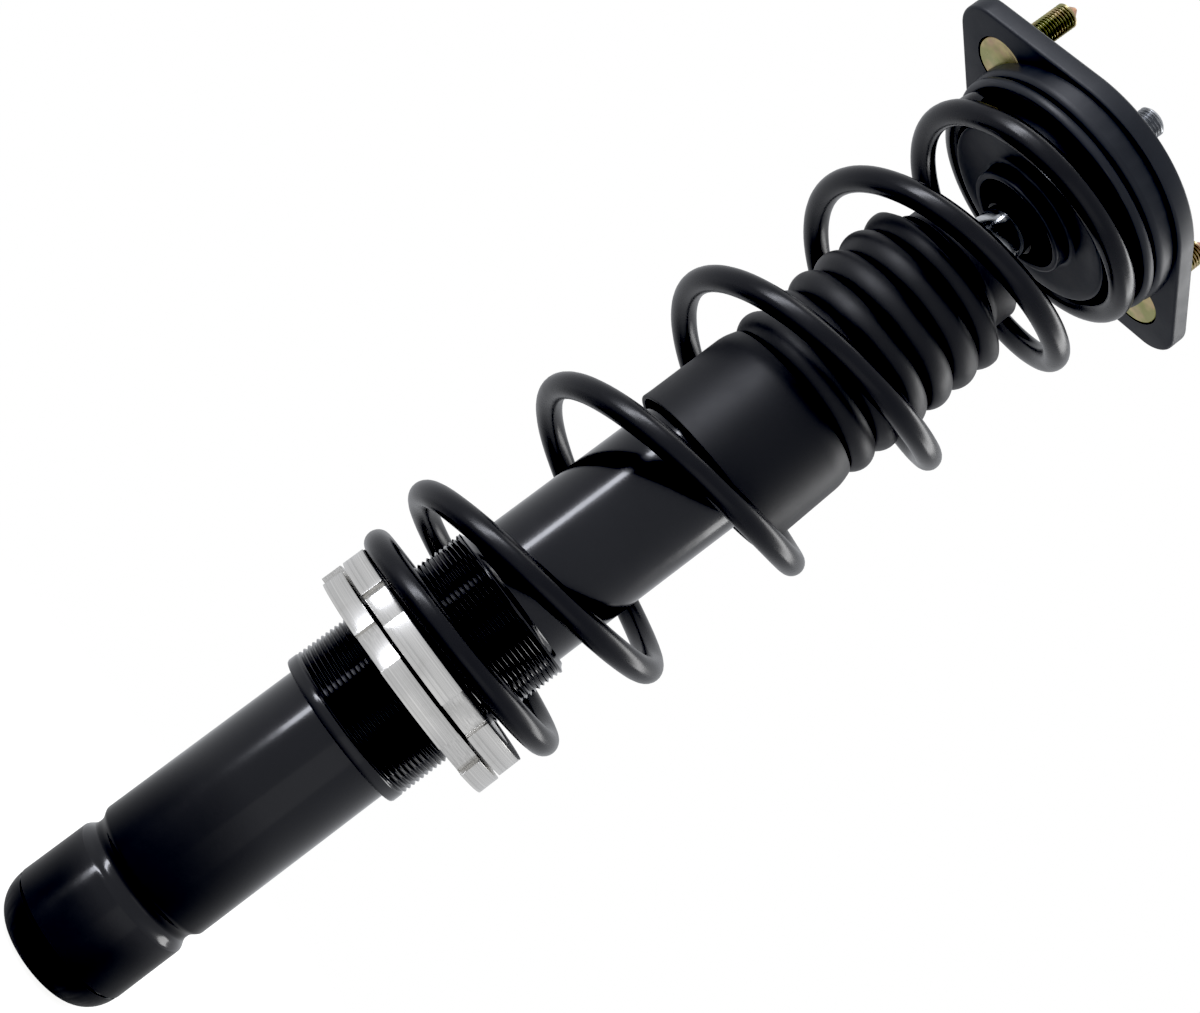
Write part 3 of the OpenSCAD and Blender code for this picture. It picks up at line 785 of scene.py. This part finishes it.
class STRUT_OT_rod(bpy.types.Operator):
    """Chromed piston rod with its threaded end, and the pieces clamped on it"""

    bl_idname = "strut.rod"
    bl_label = "Piston rod"

    def execute(self, context):
        low, high = base_mm("piston_rod"), top_mm("piston_rod")
        shoulder, shaft_low = -35, -199.7
        r, pitch, depth = 5.95, 1.25, 0.75
        section = [(0, low), (5, low), (6, low + 1), (6, shaft_low), (9.2, shaft_low),
                   (10, shaft_low + 0.8), (10, shoulder - 0.8), (9.2, shoulder), (6, shoulder),
                   (6, 7.2), (r, 7.4)]
        section += climb(r, 8, high - 1.2, pitch)
        section += [(r - 1.0, high - 0.2), (r - 1.3, high), (0, high)]
        mesh = turned("piston_rod_chromed", section, threaded(r, depth, pitch, 8, high - 1.2), 96,
                      False)
        piece("piston_rod_chromed", mesh, "rod", [hard_chrome(), zinc_steel()],
              ["piston_rod"])
        zinc, zinc_from = 1, 6
        for face in mesh.polygons:
            if face.center.z > zinc_from * MM:
                face.material_index = zinc
        self.nut()
        for name, slot in (("rod_spacer", "dark_steel"), ("stop_washer", "dark_steel"),
                           ("top_washer", "plain_steel")):
            z0, z1 = base_mm(name), top_mm(name)
            outer = box_mm(name)[1][0]
            section = rounded([(6.05, z0), (outer, z0), (outer, z1), (6.05, z1)], 0.35)
            finish = zinc_steel() if name == "top_washer" else black_oxide()
            piece(name + "_turned", turned(name + "_turned", section), "rod", finish, [name])
        return {"FINISHED"}

    def nut(self):
        """Flanged hexagon nut with chamfered corners."""
        z0, z1 = base_mm("rod_nut"), top_mm("rod_nut")
        across, hex_top = 9.5, z0 + 10.5
        steps = 96

        def ring(radius, z):
            return [(radius(a) * math.cos(a), radius(a) * math.sin(a), z(a))
                    for a in (2 * math.pi * j / steps for j in range(steps))]

        def corner(a):
            return across / math.cos((a % (math.pi / 3)) - math.pi / 6)

        rows = [ring(lambda a: 6.1, lambda a: z0), ring(lambda a: 10.2, lambda a: z0),
                ring(lambda a: 10.4, lambda a: z0 + 0.5), ring(lambda a: 10.1, lambda a: z0 + 1.5),
                ring(lambda a: min(corner(a), 10.6), lambda a: z0 + 1.6),
                ring(corner, lambda a: z0 + 2.2),
                ring(corner, lambda a: hex_top - (corner(a) - across) * 0.7 - 0.1),
                ring(lambda a: across - 0.2, lambda a: hex_top),
                ring(lambda a: 8.6, lambda a: hex_top), ring(lambda a: 8.4, lambda a: z1 - 0.6),
                ring(lambda a: 7.9, lambda a: z1), ring(lambda a: 6.6, lambda a: z1),
                ring(lambda a: 6.1, lambda a: z1 - 0.6)]
        piece("rod_nut_flanged", skin("rod_nut_flanged", rows), "rod", zinc_steel(),
              ["rod_nut"])


class STRUT_OT_tube(bpy.types.Operator):
    """Enamelled strut tube with its clamp groove, spun end and threaded sleeve"""

    bl_idname = "strut.tube"
    bl_label = "Strut tube"

    def execute(self, context):
        size = sizes()
        self.tube(size)
        self.end(size["tube_r"])
        self.sleeve(size)
        pad_low, pad_high = base_mm("lower_isolator"), top_mm("lower_isolator")
        section = rounded([(37, pad_low), (43, pad_low), (43, pad_high), (37, pad_high)], 0.4)
        piece("spring_pad_lower", turned("spring_pad_lower", section), "strut",
              moulded_rubber(), ["lower_isolator"])
        return {"FINISHED"}

    def tube(self, size):
        """Tube wall with a rolled groove whose shoulders are rounded."""
        r, bore = size["tube_r"], size["tube_r"] - 2.5
        seam, top = base_mm("strut_tube"), top_mm("strut_tube")
        middle, depth, half = size["groove_z"], size["groove_depth"], 4.6
        wall = [(bore, seam), (r - 0.35, seam), (r, seam + 0.35)]
        steps = 28
        for i in range(steps + 1):
            x = -1 + 2 * i / steps
            dip = (0.5 + 0.5 * math.cos(math.pi * abs(x) ** 1.35)) ** 0.9
            wall.append((r - depth * dip, middle + x * half))
        foot = base_mm("threaded_sleeve")
        wall += [(r, foot - 0.15), (r - 0.8, foot), (r - 0.8, foot + 10), (r - 0.1, foot + 10),
                 (r - 0.1, top - 0.6), (r - 0.6, top), (bore, top), (bore, middle + 6),
                 (bore - 2, middle + 2.5), (bore - 2, middle - 2.5), (bore, middle - 6)]
        piece("strut_tube_rolled", turned("strut_tube_rolled", wall), "strut",
              stoving_enamel(), ["strut_tube"])

    def end(self, r):
        """Spun end: a rolled edge with the spinner's faint marks, and a flat middle."""
        low, seam, roll = base_mm("end_cap"), base_mm("strut_tube"), 11.5
        outer = r - 0.2
        section = [(0, low + 0.6), (7, low + 0.35)]
        section += arc(outer - roll, low + roll, roll, -90, 0, 22)
        section += [(outer, seam - 1.1), (outer - 0.1, seam - 0.7), (outer - 0.55, seam - 0.35),
                    (outer - 0.55, seam - 0.05), (22.4, seam - 0.05), (22.4, seam + 3),
                    (20.5, seam + 4), (18.5, seam - 3), (0, seam - 6)]

        def marks(a, rr, z):
            band = max(0, 1 - abs(z - (low + 5.5)) / 4.5) if rr > 14 and z < low + roll else 0
            ridge = math.sin(a * 23 + 1.7 * math.sin(a * 5)) * 0.5 + math.sin(a * 57) * 0.3
            return rr - 0.14 * band * max(0, ridge), z

        piece("end_cap_spun", turned("end_cap_spun", section, marks, 240, False), "strut",
              stoving_enamel(), ["end_cap"])

    def sleeve(self, size):
        """Sleeve with a fine right-hand thread above a plain foot."""
        low, high = base_mm("threaded_sleeve"), top_mm("threaded_sleeve")
        bore, r = size["tube_r"] - 0.05, 28.6
        pitch, depth = size["sleeve_pitch"], size["sleeve_depth"]
        foot, top = low + 3.4, high - 1.6
        section = [(bore, low), (r - 1.0, low), (r - 0.3, low + 0.25), (r, low + 0.9), (r, foot - 0.3)]
        section += climb(r, foot, top, pitch, 8)
        section += [(r - depth - 0.5, high - 0.9), (r - depth - 1.3, high), (bore, high)]
        mesh = turned("threaded_sleeve_cut", section, threaded(r, depth, pitch, foot, top), 180)
        piece("threaded_sleeve_cut", mesh, "strut", stoving_enamel(),
              ["threaded_sleeve"], angle=28)


class STRUT_OT_rings(bpy.types.Operator):
    """Two slotted aluminium rings, turned and milled, with broken edges"""

    bl_idname = "strut.rings"
    bl_label = "Slotted rings"

    def execute(self, context):
        chamfer = sizes()["ring_chamfer"]
        for node, body, first_slot in (("lock_ring", "locker", -124),
                                       ("adjuster_ring", "adjuster", -139)):
            mesh = self.ring(node + "_milled", base_mm(node), top_mm(node), first_slot)
            made = piece(node + "_milled", mesh, body, turned_aluminium(), [node])
            edge_break(made, chamfer)
        return {"FINISHED"}

    def ring(self, name, z0, z1, first_slot):
        """Slotted ring between two heights, its first slot in the given direction."""
        r, bore, depth, slots = 43.5, 28.65, 3.0, 6
        half_slot = r * math.sin(math.radians(9.5))
        outline = []
        for i in range(slots):
            middle = math.radians(first_slot + 60 * i)
            floor = r - depth
            for y in (-half_slot, half_slot):
                edge = math.atan2(y, floor)
                rim = math.asin(y / r)
                pair = [(math.hypot(floor, y), middle + edge), (r, middle + rim)]
                outline += pair if y > 0 else pair[::-1]
            gap = math.radians(60) - 2 * math.asin(half_slot / r)
            start = middle + math.asin(half_slot / r)
            outline += [(r, start + gap * k / 14) for k in range(1, 14)]
        outer = [(rr * math.cos(a), rr * math.sin(a)) for rr, a in outline]
        inner = [(bore * math.cos(a), bore * math.sin(a)) for _, a in outline]
        rows = [[(x, y, z) for x, y in ring] for ring, z in
                ((inner, z0), (outer, z0), (outer, z1), (inner, z1))]
        return skin(name, rows)


CAD_FINISHES = {
    electrocoat: ["mount_hub", "gland_nut"],
    ground_steel: ["bearing_race", "pivot_ball", "thrust_race_upper", "thrust_race_lower",
                   "thrust_balls"],
    zinc_steel: ["retaining_ring", "piston_nut", "compression_shims", "rebound_shims",
                 "base_valve_bolt", "pressure_tube"],
    sintered_iron: ["piston", "base_valve"],
    cast_aluminium: ["rod_guide"],
    sintered_bronze: ["guide_bush", "thrust_cage"],
    filled_ptfe: ["piston_band"],
    moulded_rubber: ["oil_seal"],
    cellular_polyurethane: ["rebound_stop"],
}


class STRUT_OT_inner_parts(bpy.types.Operator):
    """Finishes on the bearing, valve and guide parts that keep their own shapes"""

    bl_idname = "strut.inner_parts"
    bl_label = "Inner parts"

    def execute(self, context):
        for finish, names in CAD_FINISHES.items():
            for name in names:
                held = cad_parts[name].data.materials
                held.clear()
                held.append(finish())
        return {"FINISHED"}


# Soft boxes: name, place in metres, width and height in metres, watts, colour
SOFT_BOXES = (
    ("key", (-0.98, -0.36, -0.02), 0.16, 1.0, 6.5, "#eef1fb"),
    ("fill", (0.25, -1.05, -0.75), 0.9, 0.9, 0.35, "#ffffff"),
    ("rim", (0.75, 0.1, 0.35), 0.3, 1.0, 4, "#ffffff"),
    ("top", (-0.3, 0.2, 1.1), 0.7, 0.7, 3, "#ffffff"),
)
BLACK_LEVEL = (0.023, 0.023, 0.022)
FLOOR_RADIUS, FLOOR_GAP = 420, 0.3


class STRUT_OT_stage(bpy.types.Operator):
    """Camera, soft studio light and a plain pale floor"""

    bl_idname = "strut.stage"
    bl_label = "Stage"

    def execute(self, context):
        self.camera(context.scene)
        self.floor()
        self.sky(context.scene)
        view = context.scene.view_settings
        view.view_transform = "Standard"
        view.use_curve_mapping = True
        view.curve_mapping.black_level = BLACK_LEVEL
        view.curve_mapping.update()
        for name, where, width, height, power, shade in SOFT_BOXES:
            self.light(name, Vector(where), width, height, power, shade)
        return {"FINISHED"}

    def camera(self, scene):
        """Camera below the plate's level, rolled so that the strut lies along the frame's diagonal."""
        lens = bpy.data.cameras.new("camera")
        lens.lens, lens.sensor_width = 50.0, 36.0
        lens.shift_x, lens.shift_y = -0.0638, -0.066
        lens.clip_start, lens.clip_end = 0.01, 20
        camera = bpy.data.objects.new("camera", lens)
        scene.collection.objects.link(camera)
        right = Vector((0.54930, -0.26672, 0.79192))
        up = Vector((-0.80075, 0.10294, 0.59009))
        back = -Vector((0.23892, 0.95827, 0.15703))
        turn = Matrix((right, up, back)).transposed().to_4x4()
        camera.matrix_world = Matrix.Translation((-0.1488, -0.5397, -0.2615)) @ turn
        scene.camera = camera

    def floor(self):
        """Pale round floor that fades out at its rim."""
        radius, z = FLOOR_RADIUS, base_mm("end_cap") - FLOOR_GAP
        rows = [[(0, 0, z)]] + [[(r * math.cos(a), r * math.sin(a), z)
                                 for a in (2 * math.pi * k / 96 for k in range(96))]
                                for r in (radius / 3, 2 * radius / 3, radius)]
        mesh = skin("floor", rows, closed=False)
        floor = bpy.data.objects.new("floor", mesh)
        bpy.context.scene.collection.objects.link(floor)
        material = bpy.data.materials.new("painted_board")
        material.use_nodes = True
        tree = material.node_tree
        tree.nodes.clear()
        place = add(tree, "TexCoord").outputs["Object"]
        away = add(tree, "VectorMath", {0: place}, operation="LENGTH").outputs["Value"]
        fade = add(tree, "MapRange", {"Value": away, "From Min": 0.46, "From Max": 0.56,
                                      "To Min": 0.0, "To Max": 1.0}).outputs[0]
        lit = add(tree, "BsdfDiffuse", {"Color": linear("#9a9a99")}).outputs[0]
        glow = add(tree, "Emission", {"Color": linear("#fbfbfa"), "Strength": 0.95}).outputs[0]
        bright = add(tree, "AddShader", {0: lit, 1: glow}).outputs[0]
        seen = add(tree, "LightPath").outputs["Is Camera Ray"]
        matt = add(tree, "MixShader", {0: seen, 1: lit, 2: bright}).outputs[0]
        clear = add(tree, "BsdfTransparent").outputs[0]
        mixed = add(tree, "MixShader", {0: fade, 1: matt, 2: clear}).outputs[0]
        add(tree, "OutputMaterial", {"Surface": mixed})
        mesh.materials.append(material)

    def sky(self, scene):
        """White surroundings to the eye, dim to the lit surfaces."""
        world = bpy.data.worlds.new("studio")
        scene.world = world
        world.use_nodes = True
        tree = world.node_tree
        tree.nodes.clear()
        seen = add(tree, "LightPath").outputs["Is Camera Ray"]
        white = add(tree, "Background", {"Color": linear("#ffffff"), "Strength": 1.0}).outputs[0]
        dim = add(tree, "Background", {"Color": linear("#f2f4f8"), "Strength": 0.75}).outputs[0]
        mixed = add(tree, "MixShader", {0: seen, 1: dim, 2: white}).outputs[0]
        add(tree, "OutputWorld", {"Surface": mixed})

    def light(self, name, where, width, height, power, shade):
        """Soft box facing the middle of the strut, its long side along the strut."""
        lamp = bpy.data.lights.new(name, "AREA")
        lamp.shape, lamp.size, lamp.size_y = "RECTANGLE", width, height
        lamp.energy, lamp.color = power, linear(shade)[:3]
        obj = bpy.data.objects.new(name, lamp)
        bpy.context.scene.collection.objects.link(obj)
        aim = where - Vector((0, 0, -0.22))
        obj.location = where
        obj.rotation_euler = aim.to_track_quat("Z", "Y").to_euler()


OPERATORS = (STRUT_OT_stage, STRUT_OT_tube, STRUT_OT_rings, STRUT_OT_spring, STRUT_OT_boot,
             STRUT_OT_rod, STRUT_OT_spring_seat, STRUT_OT_top_mount, STRUT_OT_inner_parts)


class STRUT_PT_pieces(bpy.types.Panel):
    """Lists the strut's pieces in the sidebar"""

    bl_label = "Coil-over strut"
    bl_idname = "STRUT_PT_pieces"
    bl_space_type = "VIEW_3D"
    bl_region_type = "UI"
    bl_category = "Strut"

    def draw(self, context):
        for operator in OPERATORS:
            self.layout.operator(operator.bl_idname)
        for group in (context.scene.strut_sizes, context.scene.strut_colours):
            for name in type(group).__annotations__:
                self.layout.prop(group, name)


CLASSES = (StrutSizes, StrutColours) + OPERATORS + (STRUT_PT_pieces,)


def register():
    for kind in CLASSES:
        bpy.utils.register_class(kind)
    bpy.types.Scene.strut_sizes = bpy.props.PointerProperty(type=StrutSizes)
    bpy.types.Scene.strut_colours = bpy.props.PointerProperty(type=StrutColours)


def unregister():
    del bpy.types.Scene.strut_colours
    del bpy.types.Scene.strut_sizes
    for kind in reversed(CLASSES):
        bpy.utils.unregister_class(kind)


def main():
    """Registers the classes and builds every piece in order."""
    register()
    bpy.ops.strut.stage()
    bpy.ops.strut.tube()
    bpy.ops.strut.rings()
    bpy.ops.strut.spring()
    bpy.ops.strut.boot()
    bpy.ops.strut.rod()
    bpy.ops.strut.spring_seat()
    bpy.ops.strut.top_mount()
    bpy.ops.strut.inner_parts()


if __name__ == "__main__":
    main()
